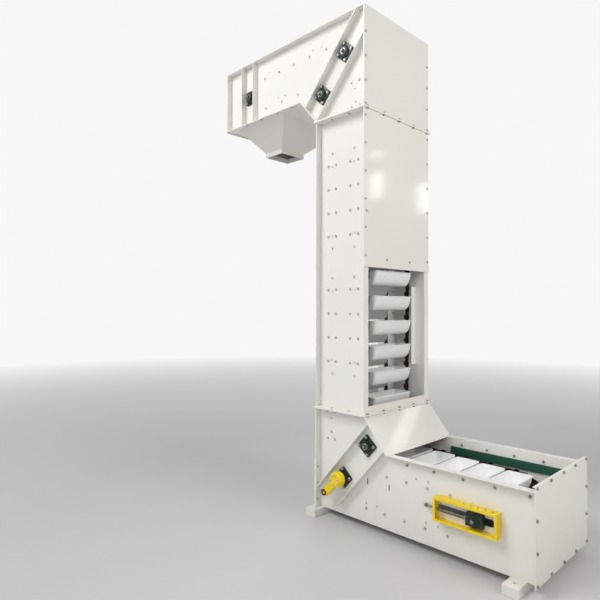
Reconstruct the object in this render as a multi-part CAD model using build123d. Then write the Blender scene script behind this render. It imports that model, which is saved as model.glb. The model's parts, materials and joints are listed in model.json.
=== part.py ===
"""Z-type bucket elevator: infeed trough, column and discharge head, with its bucket chain and drive.

Millimetres. +X runs along the trough to the infeed end, +Y to the rear and +Z up. The origin is on the floor,
under the middle of the base beam that stands below the column's back.
"""
import os
from math import asin, atan2, cos, degrees, dist, pi, radians, sin

from build123d import *

# Casing
casing_width = 716
flange_width = 45
side_sheet = 3
cover_sheet = 3
joint_lip = 12
joint_thickness = 5

# Base beams, closed rectangular tubes laid across under the boot
beam_width = 80
beam_height = 45
beam_wall = 4
beam_overhang = 52
beam_inset = 99
anchor_hole = 14
anchor_inset = 53

# Boot and trough
boot_back = -4
boot_height = 649
trough_height = 446
trough_reach = 1003
cover_run = 160
cover_lip = 24
end_plate_sheet = 4
end_plate_rise = 26
end_plate_lip = 14
access_cover_height = 320
access_cover_thickness = 7
access_cover_overlap = 60

# Column
column_depth = 402
column_height = 1870
window_height = 897
sill_height = 46

# Head
head_height = 630
head_reach = 983
head_rise = 177
chamfer_run = 149
end_plate_drop = 12

# Discharge hopper and its spigot
hopper_end_margin = 95
hopper_length = 518
hopper_rim = 20
hopper_drop = 166
spigot_length = 190
spigot_width = 236
spigot_height = 35
spigot_setback = 293

# Shafts, as (x, z) of their axes, and in the head as (x, height above the upper joint)
drive_axis = (205, 276)
bend_axis = (393, 508)
tail_axis = (1090, 270)
head_outer_place = (218, 403)
head_inner_place = (20, 185)
discharge_place = (-733, 386)
shaft_diameter = 25
shaft_end = 10
shaft_clearance = 8
bore_fit = 0.2

# Chain wheels
seven_teeth = 7
eight_teeth = 8
wheel_thickness = 10
hub_diameter = 56
hub_length = 30

# Chain: solid blocks joined by pairs of plates
link_pitch = 80
link_height = 18
block_width = 15
link_plate = 3.5
chain_spacing = 500
seat_gap = 0.3

# Buckets
bucket_width = 148
bucket_length = 390
knee_width = 100
base_width = 64
base_length = 362
bucket_wall = 4
rim_above_pin = 20
knee_below_pin = 50
base_below_pin = 70
lug_size = 12

# Ribs beside the shafts
rib_thickness = 5
band_angle = 48.5
boot_rib_above = 70
boot_rib_below = 107
boot_rib_foot = 59
head_rib_above = 60
head_rib_below = 95
discharge_rib_offset = 67

# Four-bolt flange bearings, in line with the ribs beside them
bearing_square = 102
bearing_corner = 14
bearing_plate = 12
boss_diameter = 62
boss_nose = 50
boss_height = 18
race_diameter = 38
race_height = 4

# Gear unit on the drive shaft
gear_case_diameter = 93
gear_case_depth = 42
gear_cover_diameter = 78
gear_cover_depth = 6
gear_cover_gap = 2
gear_standoff = 10
gear_arm_length = 142
gear_arm_angle = 225
gear_arm_diameter = 50
gear_arm_depth = 28
gear_neck_diameter = 46
gear_neck_depth = 9
gear_seal_diameter = 41
gear_seal_depth = 4
gear_input_bore = 19
gear_input_depth = 30

# Screw take-up
slot_length = 331
slot_height = 40
slot_centre = 1020
carriage_length = 90
carriage_height = 64
carriage_depth = 34
tongue_play = 1
screw_diameter = 12
screw_head_x = 800
screw_head_width = 22
screw_head_length = 14
screw_play = 2
guard_length = 348
guard_height = 124
guard_depth = 57
guard_sheet = 4
guard_lip = 12
guard_centre = (1046, 278)

# Inspection slots in the boot's side
inspection_slot = 34
inspection_slot_width = 8
inspection_slot_height = 294
inspection_slot_places = (392, 550)

# Guide strips in the trough and chain guards in the column
strip_height = 50
strip_thickness = 12
strip_foot = 384
strip_start = 601
strip_end = 1298
guard_strip_width = 50
guard_strip_height = 541
guard_strip_foot = 950
guard_strip_leg = 36
guard_strip_setback = 74
guard_strip_corner = 16

# Levels and faces worked out from the sizes above
half_width = casing_width / 2
beam_length = casing_width + 2 * beam_overhang
plate_face = half_width - flange_width
inner_face = plate_face - side_sheet
casing_foot = beam_height
trough_top = casing_foot + trough_height
lower_joint = casing_foot + boot_height
upper_joint = lower_joint + column_height
head_base = upper_joint + head_rise
roof = upper_joint + head_height
column_front = boot_back + column_depth
trough_end = column_front + trough_reach
head_end = boot_back - head_reach
back_inside = boot_back + cover_sheet
front_inside = column_front - cover_sheet
trough_inside = trough_end - end_plate_sheet
head_inside = head_end + cover_sheet
boot_top = lower_joint - joint_thickness
column_foot = lower_joint + joint_thickness
column_top = upper_joint - joint_thickness
head_foot = upper_joint + joint_thickness
roof_underside = roof - cover_sheet
column_middle = boot_back + column_depth / 2
beam_spacing = trough_end - beam_inset
head_outer_axis = (head_outer_place[0], upper_joint + head_outer_place[1])
head_inner_axis = (head_inner_place[0], upper_joint + head_inner_place[1])
discharge_axis = (discharge_place[0], upper_joint + discharge_place[1])
bearing_end = plate_face + bearing_plate + boss_height + race_height
window_top = lower_joint + window_height
shaft_bore = shaft_diameter + bore_fit
chain_half_width = block_width / 2 + seat_gap + link_plate


def in_side_view(sketch, y_low, y_high):
    """A flat piece cut to an (x, z) outline, from y_low to y_high."""
    return extrude(Plane.XZ.offset(-y_low) * sketch, y_low - y_high)


def outline(*points):
    return make_face(Polyline(*points, close=True))


def block(x, y, z):
    """A box given by its low and high faces along each axis."""
    box = Box(x[1] - x[0], y[1] - y[0], z[1] - z[0])
    return Pos((x[0] + x[1]) / 2, (y[0] + y[1]) / 2, (z[0] + z[1]) / 2) * box


def across(sketch, half=half_width):
    """An (x, z) section carried across the casing, centred on it."""
    return in_side_view(sketch, -half, half)


def rod(axis, diameter, y_low, y_high):
    """A round bar along Y."""
    return in_side_view(Pos(*axis) * Circle(diameter / 2), y_low, y_high)


def turned(axis, profile):
    """A revolved piece about an axis along Y, from (radius, y) points."""
    return Pos(axis[0], 0, axis[1]) * revolve(make_face(Polyline(*profile, close=True)), Axis.Y)


def folded_sheet(thickness, *points):
    """The section of a folded sheet: an open line thickened to its left, or to its right if negative."""
    headings = [atan2(b[1] - a[1], b[0] - a[0]) for a, b in zip(points, points[1:])]
    far_side = []
    for point, before, after in zip(points, headings[:1] + headings, headings + headings[-1:]):
        reach = thickness / cos((after - before) / 2)
        normal = (before + after) / 2 + pi / 2
        far_side.append((point[0] + reach * cos(normal), point[1] + reach * sin(normal)))
    return outline(*points, *reversed(far_side))


def both_sides(*pieces):
    """The front pieces and their mirror images at the rear."""
    return [*pieces, *(mirror(piece, about=Plane.XZ) for piece in pieces)]


def save(name, *pieces):
    solids = [solid for piece in pieces for solid in piece.solids()]
    export_step(Compound(solids), f"parts/{name}.step")


def save_pair(name, front_piece):
    save(f"{name}_front", front_piece)
    save(f"{name}_rear", mirror(front_piece, about=Plane.XZ))


# Casing: side plates sunk between outward flanges, closed by sheets that span the flange tips


def side_pan(sketch):
    """The front side of a casing section: a plate with a flange folded outward along its whole edge."""
    tray = in_side_view(sketch, -half_width, -inner_face)
    hollow = offset(sketch, -side_sheet, kind=Kind.INTERSECTION)
    return tray - in_side_view(hollow, -half_width, -plate_face)


def side_opening(sketch):
    return in_side_view(sketch, -plate_face, -inner_face)


def shaft_opening(axis):
    return side_opening(Pos(*axis) * Circle(shaft_diameter / 2 + shaft_clearance))


def joint_ring(z_low):
    """One of the two flat rings bolted together between casing sections."""
    z = (z_low, z_low + joint_thickness)
    plate = block(
        (boot_back - joint_lip, column_front + joint_lip), (-half_width - joint_lip, half_width + joint_lip), z
    )
    return plate - block((back_inside, front_inside), (-inner_face, inner_face), z)


boot_outline = outline(
    (back_inside, casing_foot),
    (trough_inside, casing_foot),
    (trough_inside, trough_top),
    (column_front + cover_run, trough_top),
    (front_inside, boot_top),
    (back_inside, boot_top),
)
slot_axis = (slot_centre, tail_axis[1])
boot_side = side_pan(boot_outline)
boot_side -= block(
    (back_inside + side_sheet, trough_inside - side_sheet),
    (-half_width, -plate_face),
    (casing_foot, casing_foot + side_sheet),
)
boot_side -= shaft_opening(drive_axis) + shaft_opening(bend_axis)
boot_side -= side_opening(Pos(*slot_axis) * SlotOverall(slot_length, slot_height))
for place in inspection_slot_places:
    slot = SlotOverall(inspection_slot, inspection_slot_width, rotation=90)
    boot_side -= side_opening(Pos(place, inspection_slot_height) * slot)

boot_floor = block(
    (back_inside, trough_inside), (-inner_face, inner_face), (casing_foot, casing_foot + cover_sheet)
)

access_top = casing_foot + access_cover_height
boot_back_wall = block((boot_back, back_inside), (-half_width, half_width), (casing_foot, boot_top))
boot_back_wall -= block(
    (boot_back, back_inside),
    (access_cover_overlap - half_width, half_width - access_cover_overlap),
    (casing_foot + access_cover_overlap, access_top - access_cover_overlap),
)
cover_face = boot_back - access_cover_thickness
boot_back_cover = block((cover_face, boot_back), (-half_width, half_width), (casing_foot, access_top))
boot_back_cover -= block(
    (cover_face + cover_sheet, boot_back),
    (cover_sheet - half_width, half_width - cover_sheet),
    (casing_foot + cover_sheet, access_top - cover_sheet),
)

infeed_end_plate = across(
    folded_sheet(
        end_plate_sheet,
        (trough_end, casing_foot),
        (trough_end, trough_top + end_plate_rise),
        (trough_end - end_plate_lip, trough_top + end_plate_rise),
    )
)

inclined_cover = across(
    folded_sheet(
        cover_sheet,
        (front_inside, boot_top),
        (column_front + cover_run, trough_top),
        (column_front + cover_run + cover_lip, trough_top),
    )
)
inclined_cover -= block(
    (back_inside, column_front + joint_lip), (-half_width, half_width), (boot_top, lower_joint)
)

column_side = side_pan(
    outline(
        (back_inside, column_foot),
        (front_inside, column_foot),
        (front_inside, column_top),
        (back_inside, column_top),
    )
)


def column_sheets(z_low, z_high):
    """Sheets over the flange tips on the column's front and back."""
    y = (-half_width, half_width)
    faces = ((front_inside, column_front), (boot_back, back_inside))
    return [block(face, y, (z_low, z_high)) for face in faces]


head_outline = outline(
    (boot_back, head_foot),
    (front_inside, head_foot),
    (front_inside, roof_underside),
    (head_inside, roof_underside),
    (head_inside, head_base),
    (boot_back - chamfer_run, head_base),
)
head_side = side_pan(head_outline)
for axis in (head_outer_axis, head_inner_axis, discharge_axis):
    head_side -= shaft_opening(axis)

head_roof = block((head_end, column_front), (-half_width, half_width), (roof_underside, roof))
head_front_plate = block((front_inside, column_front), (-half_width, half_width), (head_foot, roof_underside))
head_end_plate = block(
    (head_end, head_inside), (-half_width, half_width), (head_base - end_plate_drop, roof_underside)
)

hopper_start = head_end + hopper_end_margin
hopper_end = hopper_start + hopper_length
underside_strip = block(
    (head_inside, hopper_start - hopper_rim), (-half_width, half_width), (head_base - cover_sheet, head_base)
)
underside_cover = across(
    folded_sheet(
        -cover_sheet,
        (hopper_end + hopper_rim, head_base),
        (boot_back - chamfer_run, head_base),
        (boot_back, head_foot),
    )
)
underside_cover -= block(
    (boot_back - joint_lip, column_front), (-half_width, half_width), (upper_joint, head_foot)
)

# Discharge hopper, one welded piece from the rim to the spigot

rim_underside = head_base - cover_sheet
hopper_mouth = Vector(hopper_start + hopper_length / 2, 0, rim_underside)
spigot_top = Vector(head_end + spigot_setback, 0, head_base - hopper_drop)


def hopper_body(inset):
    """The hopper's taper and spigot, with every wall moved inward by inset."""
    mouth = Pos(hopper_mouth) * Rectangle(hopper_length - 2 * inset, 2 * (inner_face - inset))
    throat = Pos(spigot_top) * Rectangle(spigot_length - 2 * inset, spigot_width - 2 * inset)
    return loft([mouth, throat]) + extrude(throat, -spigot_height)


rim_plate = block(
    (hopper_start - hopper_rim, hopper_end + hopper_rim),
    (-half_width, half_width),
    (rim_underside, head_base),
)
rim_plate -= block(
    (hopper_start + cover_sheet, hopper_end - cover_sheet),
    (cover_sheet - inner_face, inner_face - cover_sheet),
    (rim_underside, head_base),
)
discharge_hopper = rim_plate + (hopper_body(0) - hopper_body(cover_sheet))

# Ribs that stand on the side plates, out to the flange tips


def rib_beside(axis, angle, offset_left, region):
    """A flat bar along a line beside an axis, trimmed to the plate's region."""
    reach = roof
    line = Rot(Z=angle) * Pos(0, offset_left) * Rectangle(2 * reach, rib_thickness)
    return in_side_view((Pos(*axis) * line) & region, -half_width, -plate_face)


boot_plate = offset(boot_outline, -side_sheet, kind=Kind.INTERSECTION)
head_plate = offset(head_outline, -side_sheet, kind=Kind.INTERSECTION)
above_foot = Pos(column_front, casing_foot + boot_rib_foot + boot_height / 2) * Rectangle(
    2 * trough_reach, boot_height
)
boot_ribs = [
    rib_beside(bend_axis, band_angle, boot_rib_above, boot_plate),
    rib_beside(bend_axis, band_angle, -boot_rib_below, boot_plate & above_foot),
]
head_ribs = [
    rib_beside(head_outer_axis, band_angle, head_rib_above, head_plate),
    rib_beside(head_outer_axis, band_angle, -head_rib_below, head_plate),
    rib_beside(discharge_axis, 90, discharge_rib_offset, head_plate),
    rib_beside(discharge_axis, 90, -discharge_rib_offset, head_plate),
]

# Base beams

beam_ends = (-beam_length / 2, beam_length / 2)


def base_beam(x):
    """A capped rectangular tube across the floor, with an anchor hole near each end."""
    beam = block((x - beam_width / 2, x + beam_width / 2), beam_ends, (0, beam_height))
    beam -= block(
        (x - beam_width / 2 + beam_wall, x + beam_width / 2 - beam_wall),
        (beam_ends[0] + beam_wall, beam_ends[1] - beam_wall),
        (beam_wall, beam_height - beam_wall),
    )
    for y in (beam_ends[0] + anchor_inset, beam_ends[1] - anchor_inset):
        beam -= Pos(x, y, beam_height / 2) * Cylinder(anchor_hole / 2, beam_height)
    return beam


# Flange bearings on the side plates


def flange_bearing(axis, angle):
    """A cast housing on a square plate in line with the ribs, with the inner race proud of its boss."""
    foot = -plate_face
    square = Rot(Z=angle) * RectangleRounded(bearing_square, bearing_square, bearing_corner)
    plate = in_side_view(Pos(*axis) * square, foot - bearing_plate, foot)
    bore = shaft_bore / 2
    nose = foot - bearing_plate - boss_height
    boss = turned(
        axis,
        (
            (bore, foot),
            (boss_diameter / 2, foot),
            (boss_diameter / 2, foot - bearing_plate),
            (boss_nose / 2, nose),
            (race_diameter / 2, nose),
            (race_diameter / 2, nose - race_height),
            (bore, nose - race_height),
        ),
    )
    return plate - rod(axis, boss_nose, foot - bearing_plate, foot) + boss


def through_shaft(axis, front_end=bearing_end + shaft_end, rear_end=bearing_end + shaft_end):
    return rod(axis, shaft_diameter, -front_end, rear_end)


# Gear unit: a round case on the drive shaft, and an arm out to the input neck

gear_back = -(bearing_end + gear_standoff)
gear_front = gear_back - gear_case_depth
gear_reach = gear_arm_length * cos(radians(gear_arm_angle)), gear_arm_length * sin(radians(gear_arm_angle))
input_axis = drive_axis[0] + gear_reach[0], drive_axis[1] + gear_reach[1]
arm_front = gear_back - gear_arm_depth
neck_front = arm_front - gear_neck_depth
gear_arm = make_hull(
    (Pos(*drive_axis) * Circle(gear_arm_diameter / 2)).edges()
    + (Pos(*input_axis) * Circle(gear_arm_diameter / 2)).edges()
)
gear_unit = rod(drive_axis, gear_case_diameter, gear_front, gear_back)
gear_unit += rod(drive_axis, gear_cover_diameter, gear_front - gear_cover_depth, gear_front)
gear_unit += in_side_view(gear_arm, arm_front, gear_back)
gear_unit += rod(input_axis, gear_neck_diameter, neck_front, arm_front)
gear_unit += rod(input_axis, gear_seal_diameter, neck_front - gear_seal_depth, neck_front)
gear_unit -= rod(drive_axis, shaft_bore, gear_front, gear_back)
gear_unit -= rod(
    input_axis,
    gear_input_bore,
    neck_front - gear_seal_depth,
    neck_front - gear_seal_depth + gear_input_depth,
)

# Screw take-up: a carriage in the side plate's slot, its screw, and the guard round both

carriage_face = -(plate_face + carriage_depth)
carriage = in_side_view(
    Pos(*tail_axis) * Rectangle(carriage_length, carriage_height), carriage_face, -plate_face
)
tongue_height = slot_height - 2 * tongue_play
carriage += side_opening(Pos(*tail_axis) * Rectangle(carriage_length, tongue_height))
carriage += turned(
    tail_axis,
    (
        (0, carriage_face),
        (boss_diameter / 2, carriage_face),
        (boss_nose / 2, carriage_face - boss_height / 2),
        (0, carriage_face - boss_height / 2),
    ),
)
carriage_nose = carriage_face - boss_height / 2
carriage -= rod(tail_axis, shaft_bore, carriage_nose, -inner_face)

screw_y = -(plate_face + carriage_depth / 2)
along_x = Plane(origin=(screw_head_x, screw_y, tail_axis[1]), z_dir=(1, 0, 0))
carriage_start = tail_axis[0] - carriage_length / 2
takeup_screw = extrude(along_x * Circle(screw_diameter / 2), carriage_start - screw_head_x)
takeup_screw += extrude(along_x * RegularPolygon(screw_head_width / 2, 6), screw_head_length)

guard_x = (guard_centre[0] - guard_length / 2, guard_centre[0] + guard_length / 2)
guard_z = (guard_centre[1] - guard_height / 2, guard_centre[1] + guard_height / 2)
guard_y = (-(plate_face + guard_depth), -plate_face)
takeup_guard = block(guard_x, guard_y, guard_z)
takeup_guard -= block(
    (guard_x[0] + guard_sheet, guard_x[1] - guard_sheet),
    (guard_y[0] + guard_sheet, guard_y[1]),
    (guard_z[0] + guard_sheet, guard_z[1] - guard_sheet),
)
takeup_guard -= block(
    (guard_x[0] + guard_lip, guard_x[1] - guard_lip),
    guard_y,
    (guard_z[0] + guard_lip, guard_z[1] - guard_lip),
)
screw_hole = Circle(screw_diameter / 2 + screw_play)
takeup_guard -= extrude(along_x * screw_hole, guard_x[0] + guard_sheet - screw_head_x)

# Guide strips in the trough, and chain guards inside the column's windows

trough_strip = block(
    (strip_start, strip_end),
    (-inner_face, strip_thickness - inner_face),
    (strip_foot, strip_foot + strip_height),
)

guard_face = column_front - guard_strip_setback
guard_strip_z = guard_strip_foot + guard_strip_height / 2
chain_guard = block(
    (guard_face - cover_sheet, guard_face),
    (-inner_face, guard_strip_width - inner_face),
    (guard_strip_foot, guard_strip_foot + guard_strip_height),
)
free_corners = chain_guard.edges().filter_by(Axis.X).sort_by(Axis.Y)[-2:]
chain_guard = fillet(free_corners, guard_strip_corner)
chain_guard += block(
    (guard_face - guard_strip_leg, guard_face),
    (-inner_face, cover_sheet - inner_face),
    (guard_strip_foot, guard_strip_foot + guard_strip_height),
)

# Chain: equal links along the pitch line over the wheels, which (axis, radius, turn) describes in travel order


def pitch_radius(teeth):
    return link_pitch / (2 * sin(pi / teeth))


counterclockwise = 1
clockwise = -1
chain_path = [
    (tail_axis, pitch_radius(eight_teeth), counterclockwise),
    (bend_axis, pitch_radius(eight_teeth), clockwise),
    (head_outer_axis, pitch_radius(seven_teeth), counterclockwise),
    (discharge_axis, pitch_radius(seven_teeth), counterclockwise),
    (head_inner_axis, pitch_radius(eight_teeth), clockwise),
    (drive_axis, pitch_radius(seven_teeth), counterclockwise),
]


def pitch_point(wheel, heading):
    """Where a chain with this heading lies on the wheel's pitch circle."""
    (x, z), radius, turn = wheel
    return x + turn * radius * sin(heading), z - turn * radius * cos(heading)


def straight_heading(wheel, following):
    """The heading of the straight run from one wheel to the next."""
    (start, start_radius, start_turn), (end, end_radius, end_turn) = wheel, following
    bearing = atan2(end[1] - start[1], end[0] - start[0])
    return bearing - asin((end_turn * end_radius - start_turn * start_radius) / dist(start, end))


def pitch_line():
    """The closed pitch line: an arc on each wheel, then the straight run to the next."""
    following = chain_path[1:] + chain_path[:1]
    leaving = [straight_heading(*pair) for pair in zip(chain_path, following)]
    arriving = leaving[-1:] + leaving[:-1]
    edges = []
    for wheel, next_wheel, heading_in, heading_out in zip(chain_path, following, arriving, leaving):
        (x, z), radius, turn = wheel
        wrap = (turn * (heading_out - heading_in)) % (2 * pi)
        middle = pitch_point(wheel, heading_in + turn * wrap / 2)
        run_start = pitch_point(wheel, heading_out)
        edges.append(ThreePointArc(pitch_point(wheel, heading_in), middle, run_start))
        edges.append(Line(run_start, pitch_point(next_wheel, heading_out)))
    return Wire(edges)


def chain_pins():
    """The chain's pins, an even number of them at equal steps along the pitch line."""
    line = pitch_line()
    count = 2 * round(line.length / (2 * link_pitch))
    places = [line.position_at(index / count) for index in range(count)]
    return [(place.X, place.Y) for place in places]


pins = chain_pins()
chain_y = -chain_spacing / 2


def link(start, end, y_low, y_high):
    """A bar from pin to pin, half its height longer at each end."""
    middle = Pos((start[0] + end[0]) / 2, (start[1] + end[1]) / 2)
    tilt = Rot(Z=degrees(atan2(end[1] - start[1], end[0] - start[0])))
    return in_side_view(middle * tilt * Rectangle(dist(start, end) + link_height, link_height), y_low, y_high)


chain_strand = []
next_pins = pins[1:] + pins[:1]
for start, end in list(zip(pins, next_pins))[::2]:
    chain_strand.append(link(start, end, chain_y - block_width / 2, chain_y + block_width / 2))
for start, end in list(zip(pins, next_pins))[1::2]:
    chain_strand.append(link(start, end, chain_y - chain_half_width, chain_y - chain_half_width + link_plate))
    chain_strand.append(link(start, end, chain_y + chain_half_width - link_plate, chain_y + chain_half_width))


def chain_wheel(wheel):
    """A disc below the links and its hub, on the front half of a shaft."""
    axis, radius, _ = wheel
    rim = radius * cos(link_pitch / (2 * radius)) - link_height / 2 - seat_gap
    face = chain_y - wheel_thickness / 2
    back = chain_y + wheel_thickness / 2
    return turned(
        axis,
        (
            (shaft_bore / 2, face),
            (rim, face),
            (rim, back),
            (hub_diameter / 2, back),
            (hub_diameter / 2, face + hub_length),
            (shaft_bore / 2, face + hub_length),
        ),
    )


wheel_nodes = {
    "boot_wheels": (bend_axis, drive_axis),
    "tail_wheels": (tail_axis,),
    "head_wheels": (head_outer_axis, head_inner_axis, discharge_axis),
}

# Buckets: open trays that hang level from every second pin


def tray(inset, drop):
    """The bucket's tapered body, with its walls moved inward by inset and its base raised by drop."""
    rim = Pos(Z=rim_above_pin) * Rectangle(bucket_width - 2 * inset, bucket_length - 2 * inset)
    knee = Pos(Z=-knee_below_pin) * Rectangle(knee_width - 2 * inset, bucket_length - 2 * inset)
    base = Pos(Z=drop - base_below_pin) * Rectangle(base_width - 2 * inset, base_length - 2 * inset)
    return loft([rim, knee, base], ruled=True)


lug_tip = chain_spacing / 2 - chain_half_width - seat_gap
lug_root = bucket_length / 2 - bucket_wall
lug_section = (-lug_size / 2, lug_size / 2)
lug = block(lug_section, (-lug_tip, -lug_root), lug_section)
bucket = tray(0, 0) - tray(bucket_wall, bucket_wall)
for side in both_sides(lug):
    bucket += side


def bucket_zone(x, z):
    """The stretch of the elevator that a bucket hangs in."""
    if z > upper_joint:
        return "buckets_head"
    if z > lower_joint:
        return "buckets_rising" if x > column_middle else "buckets_falling"
    if z > drive_axis[1] and x > column_middle:
        return "buckets_infeed"
    return "buckets_return"


# Files, one for each node

os.makedirs("parts", exist_ok=True)
save("base_beams", base_beam(0), base_beam(beam_spacing))
save_pair("boot_side", boot_side)
save("boot_floor", boot_floor)
save("boot_back_wall", boot_back_wall)
save("boot_back_cover", boot_back_cover)
save("infeed_end_plate", infeed_end_plate)
save("inclined_cover", inclined_cover)
save("boot_ribs", *both_sides(*boot_ribs))
save("trough_guide_strips", *both_sides(trough_strip))
save("joint_rings_lower", joint_ring(boot_top), joint_ring(column_top))
save("joint_rings_upper", joint_ring(lower_joint), joint_ring(upper_joint))
save_pair("column_side", column_side)
save("column_cross_bars", *column_sheets(column_foot, column_foot + sill_height))
save("column_covers", *column_sheets(window_top, column_top))
save("chain_guards", *both_sides(chain_guard))
save_pair("head_side", head_side)
save("head_roof", head_roof)
save("head_front_plate", head_front_plate)
save("head_end_plate", head_end_plate)
save("head_underside", underside_strip, underside_cover)
save("discharge_hopper", discharge_hopper)
save("head_ribs", *both_sides(*head_ribs))
boot_bearings = [flange_bearing(axis, band_angle) for axis in (drive_axis, bend_axis)]
save("boot_bearings", *both_sides(*boot_bearings))
head_bearings = [flange_bearing(axis, band_angle) for axis in (head_outer_axis, head_inner_axis)]
save("head_bearings", *both_sides(*head_bearings, flange_bearing(discharge_axis, 0)))
save("boot_shafts", through_shaft(drive_axis, -gear_front - gear_cover_gap), through_shaft(bend_axis))
save("tail_shaft", through_shaft(tail_axis, shaft_end - carriage_nose, shaft_end - carriage_nose))
save("head_shafts", *(through_shaft(axis) for axis in (head_outer_axis, head_inner_axis, discharge_axis)))
save("gear_unit", gear_unit)
save("takeup_carriages", *both_sides(carriage))
save("takeup_screws", *both_sides(takeup_screw))
save("takeup_guards", *both_sides(takeup_guard))
for name, axes in wheel_nodes.items():
    save(name, *both_sides(*(chain_wheel(wheel) for wheel in chain_path if wheel[0] in axes)))
save("chain_front", *chain_strand)
save("chain_rear", *(mirror(piece, about=Plane.XZ) for piece in chain_strand))
zones = {}
for x, z in pins[::2]:
    zones.setdefault(bucket_zone(x, z), []).append(Pos(x, 0, z) * bucket)
for name, buckets in zones.items():
    save(name, *buckets)
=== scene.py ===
"""Looks of the Z-type bucket elevator: its finishes, bolts, chain, buckets and bearings, and the studio."""
import json
from math import atan2, cos, pi, radians, sin, sqrt

import bmesh
import bpy
from mathutils import Matrix, Vector


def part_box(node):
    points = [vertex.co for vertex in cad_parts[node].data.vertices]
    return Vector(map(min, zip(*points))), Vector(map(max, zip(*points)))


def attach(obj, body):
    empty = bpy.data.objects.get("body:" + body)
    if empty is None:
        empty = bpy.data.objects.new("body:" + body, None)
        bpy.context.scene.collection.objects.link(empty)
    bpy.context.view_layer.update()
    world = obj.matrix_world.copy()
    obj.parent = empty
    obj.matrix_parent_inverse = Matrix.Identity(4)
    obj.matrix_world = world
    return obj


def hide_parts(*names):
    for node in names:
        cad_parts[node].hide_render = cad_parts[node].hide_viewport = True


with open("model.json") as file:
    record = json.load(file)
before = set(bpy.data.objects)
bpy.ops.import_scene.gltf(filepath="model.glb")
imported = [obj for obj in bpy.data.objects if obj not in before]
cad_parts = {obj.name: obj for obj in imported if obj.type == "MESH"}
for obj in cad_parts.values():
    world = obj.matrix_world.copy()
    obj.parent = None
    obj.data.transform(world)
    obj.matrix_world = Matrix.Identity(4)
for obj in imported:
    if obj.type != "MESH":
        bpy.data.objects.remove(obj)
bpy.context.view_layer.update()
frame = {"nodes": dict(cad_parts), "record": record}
scene = bpy.context.scene

# Camera, solved from the casing's corners
camera_place = (2.3525, -2.8038, 1.3379)
camera_turn = radians(45.662)
camera_tilt = radians(0.923)
camera_roll = radians(0.136)
lens_mm = 31.04

# Colours, linear
cream = (0.845, 0.835, 0.790, 1)
cream_shade = (0.815, 0.80, 0.74, 1)
dust = (0.42, 0.38, 0.29, 1)
safety_yellow = (0.96, 0.70, 0.003, 1)
yellow_shade = (0.86, 0.56, 0.003, 1)
housing_green = (0.014, 0.040, 0.028, 1)
housing_shade = (0.005, 0.010, 0.008, 1)
guide_green = (0.014, 0.095, 0.052, 1)
guide_shade = (0.008, 0.055, 0.032, 1)
bucket_white = (0.85, 0.855, 0.85, 1)
bucket_shade = (0.75, 0.76, 0.765, 1)
zinc = (0.66, 0.65, 0.60, 1)
zinc_shade = (0.42, 0.41, 0.37, 1)
weathered = (0.42, 0.41, 0.37, 1)
weathered_shade = (0.23, 0.22, 0.19, 1)
coated = (0.78, 0.77, 0.73, 1)
coated_shade = (0.60, 0.59, 0.55, 1)
bright_steel = (0.62, 0.61, 0.59, 1)
bright_shade = (0.40, 0.39, 0.37, 1)
dull_steel = (0.20, 0.195, 0.19, 1)
dull_shade = (0.09, 0.088, 0.085, 1)
oiled_steel = (0.050, 0.043, 0.037, 1)
oiled_shade = (0.018, 0.016, 0.014, 1)
machined_steel = (0.26, 0.25, 0.24, 1)
machined_shade = (0.14, 0.135, 0.13, 1)
seal_black = (0.012, 0.012, 0.013, 1)
seal_shade = (0.030, 0.030, 0.031, 1)
pale_floor = (0.56, 0.56, 0.56, 1)
floor_shade = (0.58, 0.58, 0.58, 1)
background = (0.93, 0.93, 0.93, 1)
daylight = (0.97, 0.98, 1.0, 1)


class Signal:
    """A socket's output, on which plain arithmetic adds the nodes that work it out."""

    def __init__(self, finish, socket):
        self.finish = finish
        self.socket = socket

    def worked(self, operation, first, second):
        return self.finish.node("ShaderNodeMath", {"operation": operation}, {0: first, 1: second})

    def __add__(self, other):
        return self.worked("ADD", self, other)

    def __sub__(self, other):
        return self.worked("SUBTRACT", self, other)

    def __rsub__(self, other):
        return self.worked("SUBTRACT", other, self)

    def __mul__(self, other):
        return self.worked("MULTIPLY", self, other)

    def __truediv__(self, other):
        return self.worked("DIVIDE", self, other)

    def __pow__(self, other):
        return self.worked("POWER", self, other)

    __radd__ = __add__
    __rmul__ = __mul__

    def limited(self):
        """The value kept between 0 and 1."""
        return self.finish.node("ShaderNodeClamp", {}, {"Value": self})


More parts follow.
